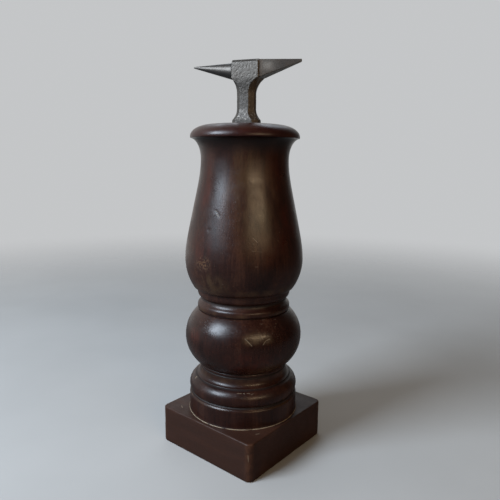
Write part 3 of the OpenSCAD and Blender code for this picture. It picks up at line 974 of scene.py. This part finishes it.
class STAND_OT_plinth(bpy.types.Operator):
    """Makes the square plinth, with its worn edges and the bore for the tenon"""

    bl_idname = "anvil_stand.plinth"
    bl_label = "Plinth"

    def execute(self, context):
        scene = context.scene
        sizes = scene.stand_plinth
        half = PLINTH_HALF
        corner, ease = sizes.corner_radius / MM, sizes.edge_radius / MM
        bore = scene.stand_column.tenon_radius / MM + GLUE_GAP
        square = rounded_square(half, corner, 26, 14)
        bearing = np.arctan2(square[:, 1], square[:, 0])
        circle = bore * np.stack([np.cos(bearing), np.sin(bearing)], 1)
        e = np.linspace(0.0, math.pi / 2, 6)
        inset = np.concatenate([ease * (1.0 - np.sin(e)), np.zeros(SIDE_RINGS),
                                ease * (1.0 - np.cos(e))])
        height = np.concatenate([ease * (1.0 - np.cos(e)),
                                 np.linspace(ease, PLINTH_TOP - ease, SIDE_RINGS + 2)[1:-1],
                                 PLINTH_TOP - ease * (1.0 - np.sin(e))])
        shrink = (half - inset)[:, None, None] / half
        side = np.concatenate([square * shrink, np.repeat(height[:, None, None], len(square), 1)], -1)
        low_ring = np.concatenate([circle, np.zeros((len(circle), 1))], 1)
        top_ring = low_ring + np.array([0.0, 0.0, PLINTH_TOP])
        loops = np.concatenate([[low_ring], between(low_ring, side[0], UNDER_RINGS), side,
                                between(side[-1], top_ring, OVER_RINGS), [top_ring],
                                between(top_ring, low_ring, 6)])
        first = 1 + UNDER_RINGS
        last = first + len(side) + OVER_RINGS
        rows = loops[first:last]
        level = rise(rows[..., 2], PLINTH_TOP - ease, PLINTH_TOP)
        outward = level_outward(rows)
        low_part = rise(rows[..., 2], 0.0, 5.0)
        wave = low_part * (0.16 * lattice_noise(rows, 26.0, 41) + 0.05 * lattice_noise(rows, 8.0, 42))
        reach = np.maximum(np.abs(rows[..., 0]), np.abs(rows[..., 1]))
        near_top = rise(rows[..., 2], PLINTH_TOP - 4.0, PLINTH_TOP) * rise(reach, half - 5.0, half - 0.5)
        wear = near_top * np.maximum(lattice_noise(rows, 9.0, 43), 0.0) ** 2 * 0.9
        diagonal = np.abs(rows[..., 0]) + np.abs(rows[..., 1])
        at_corner = rise(diagonal, 2 * half - 12.0, 2 * half - 5.0)
        wear += 0.35 * at_corner * np.maximum(lattice_noise(rows, 7.0, 44), 0.0)
        rows += outward * ((wave - wear) * (1.0 - level))[..., None]
        rows[..., 2] -= level * wear * 0.5
        keep = rise(reach, 69.0, 71.0)
        rows[..., 2] += np.minimum(level * wave * keep * 0.6, 0.0)
        points, quads, tris = skin(loops, joined=True)
        made = put_mesh("plinth", points, quads, tris)
        put_attributes(made, {"worn": self.worn_edges(points, half)})
        sharpen(made)
        settle(made, "stand", "plinth", plinth_finish(scene.stand_wood, sizes))
        return {"FINISHED"}

    def worn_edges(self, points, half):
        """How worn each point is: most on the upright corners, less along the top edges."""
        x, y, z = np.abs(points).T
        corner = rise(x + y, 2 * half - 9.0, 2 * half - 4.5)
        front = rise(points[:, 0] - points[:, 1], 2 * half - 9.0, 2 * half - 4.0)
        top = rise(z, PLINTH_TOP - 3.0, PLINTH_TOP - 0.5) * rise(np.maximum(x, y), half - 3.0, half - 0.8)
        return np.clip(0.4 * corner + 0.5 * front + 0.15 * top, 0.0, 1.0)


# Sizes of the anvil in its own frame, whose z = 0 is the foot's underside.
ANVIL_H = ANVIL_TOP - CAP_TOP
BLOCK = (33.0, 21.0, 19.7)
WAIST = (22.0, 17.3)
FOOT = (33.0, 21.0)
COLLAR_H, FLARE_TOP, WAIST_TOP = 5.3, 18.3, 34.3
FOOT_CHAMFER, WAIST_CHAMFER, FACE_EASE = 6.2, 5.6, 3.0
ROUND_HORN = ((-12.2, 60.2, 10.2), (-67.5, 67.4, 1.0))
SQUARE_HORN = ((14.8, 51.2, 71.7, 19.0), (65.5, 67.6, 70.6, 2.4))
TANG = (13.0, 8.0, 62.0)


def sweep(z, foot, waist, block):
    """Half width of the anvil at a height: straight, with two round sweeps down to the waist."""
    low_rise, high_rise = FLARE_TOP - COLLAR_H, (ANVIL_H - BLOCK[2]) - WAIST_TOP
    low_run, high_run = foot - waist, block - waist
    low_r = (low_run ** 2 + low_rise ** 2) / (2.0 * low_run)
    high_r = (high_run ** 2 + high_rise ** 2) / (2.0 * high_run)
    low_drop = np.clip(FLARE_TOP - z, 0.0, low_rise)
    high_climb = np.clip(z - WAIST_TOP, 0.0, high_rise)
    return (waist + low_r - np.sqrt(low_r ** 2 - low_drop ** 2)
            + high_r - np.sqrt(high_r ** 2 - high_climb ** 2))


def body_loops(around=256):
    """Block, waist and foot: at each height the radius is the least reach to eight upright planes."""
    z = np.concatenate([np.linspace(0.0, ANVIL_H - FACE_EASE, 140),
                        np.linspace(ANVIL_H - FACE_EASE, ANVIL_H, 10)[1:]])
    shift = BLOCK_SHIFT * rise(z, WAIST_TOP, ANVIL_H - BLOCK[2])
    front = sweep(z, FOOT[0] / 2, WAIST[0] / 2, BLOCK[0] / 2)
    wide = (FOOT[1] + (WAIST[1] - FOOT[1]) * rise(z, COLLAR_H - 1.0, FLARE_TOP + 2.0)
            + (BLOCK[1] - WAIST[1]) * rise(z, WAIST_TOP - 3.0, ANVIL_H - BLOCK[2] + 1.5)) / 2
    wide = wide - np.maximum(z - ANVIL_H + FACE_EASE, 0.0)
    corner = sweep(z, (FOOT[0] / 2 + FOOT[1] / 2 - FOOT_CHAMFER) / math.sqrt(2.0),
                   (WAIST[0] / 2 + WAIST[1] / 2 - WAIST_CHAMFER) / math.sqrt(2.0),
                   (BLOCK[0] / 2 + BLOCK_SHIFT + BLOCK[1] / 2) / math.sqrt(2.0) + 1.0)
    reaches = np.stack([front + shift, corner, wide, corner, front - shift, corner, wide, corner])
    a = round_angles(around)
    facing = np.cos(a[None, :] - np.arange(8)[:, None] * math.pi / 4)
    reach = np.where(facing[:, None, :] > 0.05,
                     reaches[:, :, None] / np.maximum(facing[:, None, :], 0.05), 1e9).min(0)
    return np.stack([reach * np.cos(a), reach * np.sin(a), np.repeat(z[:, None], around, 1)], -1)


def round_horn_loops(around=96):
    """A cone towards -along that climbs a little, closed by a round tip."""
    (x0, z0, r0), (x1, z1, r1) = ROUND_HORN
    start, end = np.array([x0, 0.0, z0]), np.array([x1, 0.0, z1])
    axis = (end - start) / np.linalg.norm(end - start)
    up = np.array([-axis[2], 0.0, axis[0]])
    side = np.cross(axis, up)
    t = np.linspace(0.0, 1.0, 90)
    b = np.linspace(0.0, math.pi / 2, 7)[1:-1]
    reach = np.concatenate([t * np.linalg.norm(end - start),
                            np.linalg.norm(end - start) + r1 * np.sin(b)])
    radius = np.concatenate([r0 + (r1 - r0) * t, r1 * np.cos(b)])
    a = round_angles(around)
    ring = np.cos(a)[:, None] * up + np.sin(a)[:, None] * side
    return start + reach[:, None, None] * axis + radius[:, None, None] * ring


def square_horn_loops(around=96):
    """A tapering rectangle towards +along, with a nearly level top."""
    (x0, low0, high0, wide0), (x1, low1, high1, wide1) = SQUARE_HORN
    t = np.linspace(0.0, 1.0, 90)[:, None]
    half_z = ((high0 - low0) + ((high1 - low1) - (high0 - low0)) * t) / 2
    mid_z = ((high0 + low0) + ((high1 + low1) - (high0 + low0)) * t) / 2
    half_y = (wide0 + (wide1 - wide0) * t) / 2
    a = round_angles(around)[None, :]
    longest = np.maximum(np.abs(np.cos(a)), np.abs(np.sin(a)))
    return np.stack([np.repeat(x0 + (x1 - x0) * t, around, 1), half_y * np.cos(a) / longest,
                     mid_z + half_z * np.sin(a) / longest], -1)


def tang_loops(around=64):
    """A square that tapers downwards below the foot."""
    top, end, deep = TANG
    z = np.linspace(-deep, 0.5, 60)[:, None]
    half = (end + (top - end) * (z + deep) / deep) / 2
    a = round_angles(around)[None, :]
    reach = half / np.maximum(np.abs(np.cos(a)), np.abs(np.sin(a)))
    return np.stack([reach * np.cos(a), reach * np.sin(a), np.repeat(z, around, 1)], -1)


def arrays_of(mesh):
    """Points, normals, edges, quads and triangles of a mesh, with points in millimetres."""
    def read(items, name, width, kind):
        values = np.empty(len(items) * width, kind)
        items.foreach_get(name, values)
        return values.reshape(-1, width)

    corners = read(mesh.loops, "vertex_index", 1, np.int32)[:, 0]
    starts = read(mesh.polygons, "loop_start", 1, np.int32)
    counts = read(mesh.polygons, "loop_total", 1, np.int32)[:, 0]
    return (read(mesh.vertices, "co", 3, np.float32).astype(float) / MM,
            read(mesh.vertex_normals, "vector", 3, np.float32).astype(float),
            read(mesh.edges, "vertices", 2, np.int32),
            corners[starts[counts == 4] + np.arange(4)],
            corners[starts[counts == 3] + np.arange(3)])


def neighbour_mean(values, edges):
    """Mean of the values at each point's neighbours along the edges."""
    total = np.bincount(edges[:, 0], values[edges[:, 1]], len(values))
    total += np.bincount(edges[:, 1], values[edges[:, 0]], len(values))
    return total / np.maximum(np.bincount(edges.ravel(), minlength=len(values)), 1)


def spread_over(values, edges, passes):
    """Averages values with those of their neighbours, several times."""
    for _ in range(passes):
        values = 0.5 * values + 0.5 * neighbour_mean(values, edges)
    return values


def bulge_of(points, normals, edges):
    """How far each point stands proud of the mean of its neighbours, along its normal."""
    mean = np.stack([neighbour_mean(column, edges) for column in points.T], 1)
    return ((points - mean) * normals).sum(1)


class STAND_OT_anvil(bpy.types.Operator):
    """Forges the anvil in one piece: block, two horns, waist, foot and tang"""

    bl_idname = "anvil_stand.anvil"
    bl_label = "Anvil"

    def execute(self, context):
        scene = context.scene
        sizes = scene.stand_anvil
        shells = [skin(loops, joined=False) for loops in
                  (body_loops(), round_horn_loops(), square_horn_loops(), tang_loops())]
        offsets = np.cumsum([0] + [len(shell[0]) for shell in shells[:-1]])
        rough = put_mesh("rough_anvil", np.concatenate([s[0] for s in shells]),
                         np.concatenate([s[1] + o for s, o in zip(shells, offsets)]),
                         np.concatenate([s[2] + o for s, o in zip(shells, offsets)]))
        fuse = rough.modifiers.new("fuse", "REMESH")
        fuse.mode = "VOXEL"
        fuse.voxel_size = sizes.grain
        soften = rough.modifiers.new("soften", "SMOOTH")
        soften.factor = 0.5
        soften.iterations = 2
        whole = bpy.data.meshes.new_from_object(
            rough.evaluated_get(context.evaluated_depsgraph_get()))
        bpy.data.objects.remove(rough)
        points, normals, edges, quads, tris = arrays_of(whole)
        bulge = spread_over(bulge_of(points, normals, edges), edges, 6)
        points = points + normals * self.hammered(points, normals, sizes)[:, None]
        marks = self.marks(points, normals, bulge)
        c, s = math.cos(ANVIL_TURN), math.sin(ANVIL_TURN)
        placed = np.stack([TANG_CENTRE[0] + points[:, 0] * c - points[:, 1] * s,
                           TANG_CENTRE[1] + points[:, 0] * s + points[:, 1] * c,
                           CAP_TOP + points[:, 2]], 1)
        made = put_mesh("anvil", placed, quads, tris)
        put_attributes(made, marks)
        settle(made, "anvil", "stake_anvil", steel_finish(sizes))
        return {"FINISHED"}

    def hammered(self, points, normals, sizes):
        """Depth of the hammer texture: rough on the block and foot, light on the horns and face."""
        x, _, z = points.T
        horn = rise(np.abs(x - BLOCK_SHIFT), BLOCK[0] / 2 + 0.3, BLOCK[0] / 2 + 2.0)
        face = rise(normals[:, 2], 0.6, 0.95) * rise(z, ANVIL_H - 2.0, ANVIL_H - 0.5)
        below = rise(-z, 0.0, 1.0)
        coarse = lattice_noise(points, 1.9, 51) + 0.6 * lattice_noise(points, 1.1, 52)
        broad = lattice_noise(points, 6.0, 53)
        amount = sizes.hammering / MM * (1.0 - 0.78 * horn) * (1.0 - 0.7 * face)
        pits = np.maximum(lattice_noise(points, 1.35, 54) - 0.28, 0.0) / 0.72
        pitting = sizes.pitting / MM * (1.0 - 0.9 * horn) * (1.0 - 0.85 * face)
        depth = amount * (coarse + 0.8 * broad) - pitting * pits
        return depth * (1.0 - below) - 0.12 * below

    def marks(self, points, normals, bulge):
        """Wear on proud edges, painted shade that is black in hollows and dark on the undersides and the
        round horn's top, the blackened horns, and brown patina on the sides that aren't handled.
        """
        x, _, z = points.T
        grain = lattice_noise(points, 1.2, 61)
        patches = lattice_noise(points, 5.0, 62)
        horn = rise(np.abs(x - BLOCK_SHIFT), BLOCK[0] / 2 + 0.1, BLOCK[0] / 2 + 0.8)
        square_side = rise(x, BLOCK[0] / 2, BLOCK[0] / 2 + 1.0)
        worn = rise(bulge + 0.010 * grain, 0.022, 0.060) * (1.0 - 0.6 * horn)
        foot = rise(z, 3.0, 6.0) * rise(15.0 - z, 0.0, 5.0)
        specks = rise(lattice_noise(points, 1.0, 63), 0.35, 0.65)
        worn = np.maximum(worn, specks * (0.16 + 0.34 * foot) * (1.0 - horn))
        rubbed = np.exp(-((x - 27.0) / 8.0) ** 2 - ((z - 65.0) / 5.0) ** 2) * square_side
        worn = np.maximum(worn, 0.36 * rubbed * (1.0 + 0.5 * patches))
        # Painted shade: black in the concave hollows and along the roots of the horns.
        hollow = rise(-bulge, 0.010, 0.050)
        root = np.exp(-((np.abs(x - BLOCK_SHIFT) - BLOCK[0] / 2 - 0.5) / 0.9) ** 2)
        hollow = np.maximum(hollow, 0.9 * root * horn)
        facing_end = rise(normals[:, 0], 0.25, 0.6)
        patina = np.maximum(facing_end, 0.40 * square_side)
        rust = np.exp(-((x - BLOCK_SHIFT - BLOCK[0] / 2 - 2.2) / 1.8) ** 2) * square_side
        patina = np.clip(patina + 0.5 * rust + 0.18 * patches, 0.0, 1.0)
        patina = np.where(z < 0.0, 0.75, patina)
        up = normals[:, 2]
        # Painted shade on the round horn: darker along its top and its underside, by which way the surface
        # faces.
        shaded_horn = np.maximum(rise(up, 0.50, 0.74), 0.85 * rise(-up, 0.0, 0.5))
        below_block = rise(ANVIL_H - BLOCK[2] - z, -3.0, 8.0) * (1.0 - horn)
        tip = rise(x, 16.0, 50.0) * square_side
        # Painted shade under things: surfaces that face down are darkened.
        under = rise(-up, 0.15, 0.5) * (z > 20.0)
        # Blackened horns, darker below the block and towards the square horn's tip, with the painted shade
        # above.
        oxide = np.maximum(np.maximum(horn * (0.12 + 0.88 * shaded_horn), 0.42 * below_block),
                           np.maximum(0.85 * tip, 0.95 * under)) + 0.12 * patches
        return {"worn": np.clip(worn, 0, 1), "hollow": np.clip(hollow, 0, 1), "patina": patina,
                "oxide": np.clip(oxide, 0, 1), "horn": horn}


class STAND_OT_wedge(bpy.types.Operator):
    """Gives the wedge in the tenon its bare wood"""

    bl_idname = "anvil_stand.wedge"
    bl_label = "Tenon wedge"

    def execute(self, context):
        wedge = frame["nodes"]["tenon_wedge"]
        material = wedge_finish()
        if not wedge.material_slots:
            wedge.data.materials.append(material)
        for held in wedge.material_slots:
            held.material = material
        return {"FINISHED"}


# ---- studio ----

MIRRORED_FLOOR = 0.30
FLOOR_REACH, FLOOR_DROP, FLOOR_AROUND = 3000.0, -0.1, 96
FLOOR_CLEARS = (500.0, 1900.0)
CLOUDY_FLOOR = 0.94
DIM_FRONT = (0.034, 0.029, 0.024)
DULL_LEFT = (0.28, 0.29, 0.31)
PALE_BACK = (0.62, 0.62, 0.61)
LIGHTS = [
    # name, direction from the object, distance, size, power, colour and shape
    ("window_light", (-0.294, -0.782, 0.549), 1.75, (0.74, 0.80), 52.0, "window", "RECTANGLE"),
    ("lamp_light", (0.895, -0.352, 0.34), 1.75, (1.25, 0.12), 8.2, "lamp", "ELLIPSE"),
    ("back_light", (-0.42, 0.55, 0.72), 2.4, (1.50, 1.10), 7.0, "window", "RECTANGLE"),
]


class STAND_OT_studio(bpy.types.Operator):
    """Sets out the floor, the lights, the surroundings and the camera"""

    bl_idname = "anvil_stand.studio"
    bl_label = "Studio"

    def execute(self, context):
        scene = context.scene
        studio = scene.stand_studio
        self.make_floor(studio)
        self.make_surround(scene, studio)
        middle = (Vector(cad_box[0]) + Vector(cad_box[1])) / 2
        for name, direction, distance, size, power, shade, shape in LIGHTS:
            self.make_light(name, direction, distance, size, power, getattr(studio, shade), shape,
                            middle)
        scene.camera = self.make_camera(studio)
        scene.view_settings.view_transform = "Standard"
        return {"FINISHED"}

    def make_floor(self, studio):
        """A disc of rings, (r cos a, r sin a), that fades out towards its edge."""
        radii = np.linspace(0.0, FLOOR_REACH, 25)[1:]
        outline = np.stack([radii, np.full(len(radii), FLOOR_DROP)], 1)
        loops = round_loops(outline, round_angles(FLOOR_AROUND))[::-1]
        index, beside, quads = strips(*loops.shape[:2])
        tris = np.stack([index[-1], beside[-1], np.full(FLOOR_AROUND, index.size)], -1)
        points = np.concatenate([loops.reshape(-1, 3), [[0.0, 0.0, FLOOR_DROP]]])
        floor = put_mesh("floor", points, quads, tris)
        finish = Finish("floor")
        place = finish.millimetres()
        cloudy = finish.rise(finish.noise(place, 0.004, 4.0), 0.3, 0.7)
        shade = finish.mix(cloudy, tuple(c * CLOUDY_FLOOR for c in studio.floor), studio.floor)
        mirrored = finish.add("ShaderNodeLightPath").outputs["Is Glossy Ray"]
        shade = finish.mix(mirrored, shade, tuple(c * MIRRORED_FLOOR for c in studio.floor))
        surface = finish.add("ShaderNodeBsdfPrincipled", {"Base Color": shade, "Roughness": 0.85,
                                                          "Specular IOR Level": 0.2})
        clear = finish.add("ShaderNodeBsdfTransparent")
        far = finish.rise(finish.vector("LENGTH", place), *FLOOR_CLEARS)
        both = finish.add("ShaderNodeMixShader", {0: far, 1: surface.outputs[0],
                                                  2: clear.outputs[0]})
        finish.add("ShaderNodeOutputMaterial", {0: both.outputs[0]})
        floor.data.materials.append(finish.material)

    def make_surround(self, scene, studio):
        """Pale behind the object, dim in front of it, lighter to the left than to the right."""
        world = bpy.data.worlds.new("surround")
        world.use_nodes = True
        scene.world = world
        finish = Finish("surround", world.node_tree)
        look = finish.add("ShaderNodeTexCoord").outputs["Generated"]
        c, s = math.cos(studio.azimuth), math.sin(studio.azimuth)
        behind = finish.vector("DOT_PRODUCT", look, (-s, c, 0.0))
        right = finish.vector("DOT_PRODUCT", look, (c, s, 0.0))
        turned = finish.less(behind, finish.times(right, 0.60))
        back = finish.rise(turned, 0.10, 0.95)
        left = finish.rise(right, 0.15, -0.9)
        shade = finish.mix(left, DIM_FRONT, DULL_LEFT)
        shade = finish.mix(back, shade, PALE_BACK)
        lit = finish.add("ShaderNodeBackground", {"Color": shade, "Strength": 1.0})
        seen = finish.add("ShaderNodeBackground", {"Color": studio.surround, "Strength": 1.0})
        path = finish.add("ShaderNodeLightPath").outputs["Is Camera Ray"]
        both = finish.add("ShaderNodeMixShader", {0: path, 1: lit.outputs[0], 2: seen.outputs[0]})
        finish.add("ShaderNodeOutputWorld", {0: both.outputs[0]})

    def make_light(self, name, direction, distance, size, power, shade, shape, target):
        """A soft panel of light that faces the middle of the object."""
        lamp = bpy.data.lights.new(name, "AREA")
        lamp.shape = shape
        lamp.size, lamp.size_y = size
        lamp.energy = power
        lamp.color = shade
        made = bpy.data.objects.new(name, lamp)
        away = Vector(direction).normalized()
        made.location = target + away * distance
        made.rotation_euler = away.to_track_quat("Z", "Y").to_euler()
        bpy.context.scene.collection.objects.link(made)

    def make_camera(self, studio):
        """Looks at the stand from the set azimuth. Pitch, yaw and roll then turn its axes."""
        cy, sy = math.cos(studio.yaw), math.sin(studio.yaw)
        cp, sp = math.cos(studio.pitch), math.sin(studio.pitch)
        cr, sr = math.cos(studio.roll), math.sin(studio.roll)
        forward = Vector((sy * cp, cy * cp, -sp))
        level = Vector((cy, -sy, 0.0))
        upright = level.cross(forward)
        right = level * cr + upright * sr
        up = upright * cr - level * sr
        axes = Matrix((right, up, -forward)).transposed().to_4x4()
        place = Matrix.Translation(Vector((0.0, -studio.distance, studio.height)))
        data = bpy.data.cameras.new("camera")
        data.lens = studio.lens
        data.sensor_width = 36.0
        data.clip_start, data.clip_end = 0.01, 20.0
        made = bpy.data.objects.new("camera", data)
        made.matrix_world = Matrix.Rotation(studio.azimuth, 4, "Z") @ place @ axes
        bpy.context.scene.collection.objects.link(made)
        return made


OPERATORS = (STAND_OT_studio, STAND_OT_plinth, STAND_OT_column, STAND_OT_cap, STAND_OT_anvil,
             STAND_OT_wedge)


class STAND_PT_pieces(bpy.types.Panel):
    """Lists the operators and their settings"""

    bl_label = "Anvil Stand"
    bl_idname = "STAND_PT_pieces"
    bl_space_type = "VIEW_3D"
    bl_region_type = "UI"
    bl_category = "Anvil Stand"

    def draw(self, context):
        for name, group in SETTINGS.items():
            box = self.layout.box()
            for key in group.__annotations__:
                box.prop(getattr(context.scene, name), key)
        for operator in OPERATORS:
            self.layout.operator(operator.bl_idname)


def register():
    """Registers the settings, the operators and the panel."""
    for name, group in SETTINGS.items():
        bpy.utils.register_class(group)
        setattr(bpy.types.Scene, name, PointerProperty(type=group))
    for made in (*OPERATORS, STAND_PT_pieces):
        bpy.utils.register_class(made)


def unregister():
    """Takes the panel, the operators and the settings away again."""
    for made in (STAND_PT_pieces, *reversed(OPERATORS)):
        bpy.utils.unregister_class(made)
    for name, group in reversed(SETTINGS.items()):
        delattr(bpy.types.Scene, name)
        bpy.utils.unregister_class(group)


def main():
    """Builds every piece and the studio."""
    register()
    for operator in OPERATORS:
        family, call = operator.bl_idname.split(".")
        getattr(getattr(bpy.ops, family), call)()
    bpy.context.view_layer.update()


if __name__ == "__main__":
    main()
